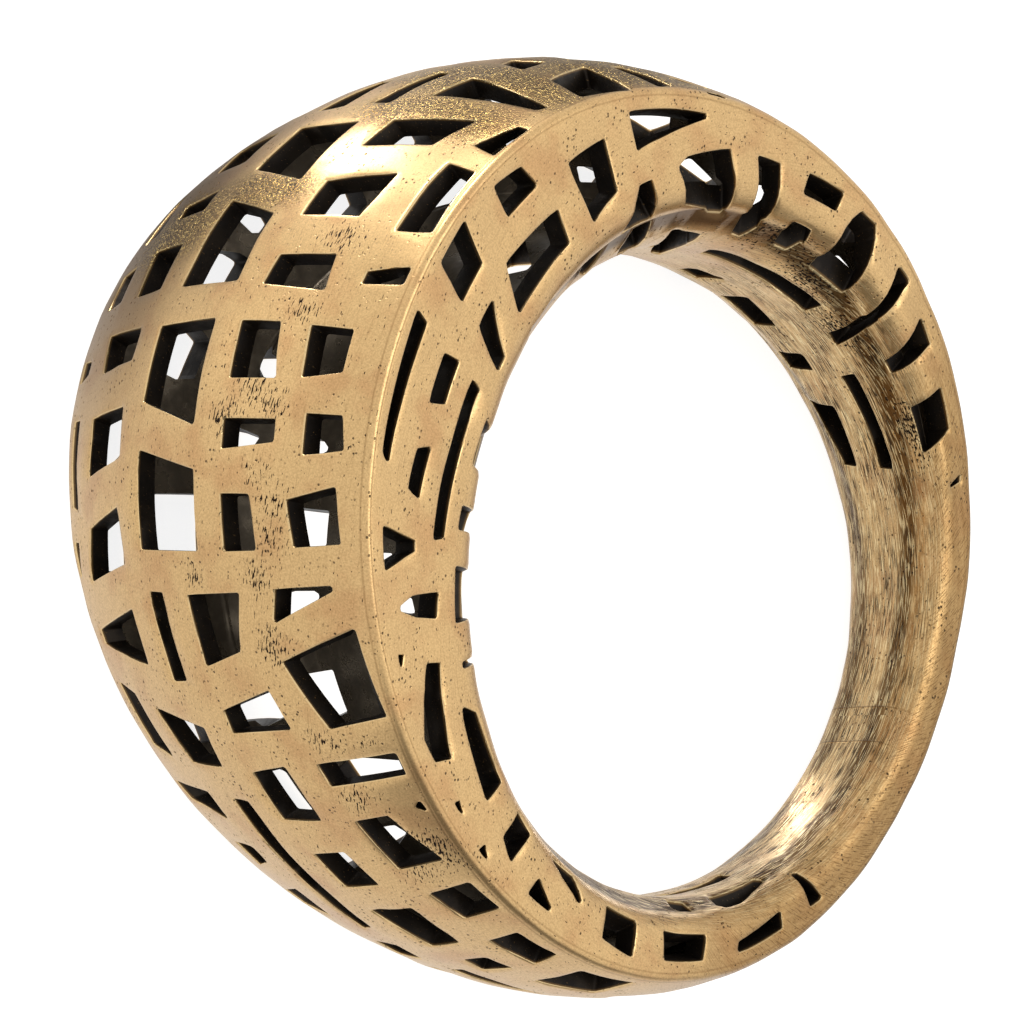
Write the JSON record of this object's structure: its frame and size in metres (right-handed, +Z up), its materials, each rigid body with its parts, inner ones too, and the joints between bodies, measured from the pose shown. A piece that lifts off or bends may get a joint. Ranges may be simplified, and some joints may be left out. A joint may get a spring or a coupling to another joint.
{
  "type": "openwork ring",
  "caption": "Hollow dome finger ring with flat wedge-shaped side walls, all its walls pierced with irregular four-sided gaps.",
  "frame": {"origin": "on the surface that the ring rests on, under the middle of its length and width", "axes": "+X from the back of the band toward the crown, +Z up from the side wall that it lies on"},
  "size_m": [0.0264, 0.0244, 0.0129],
  "materials": {
    "casting": "antiqued: satin warm gold outside, dark oxide in the gaps and the hollow"
  },
  "bodies": {
    "root": {"openwork_ring": "casting"}
  },
  "joints": []
}
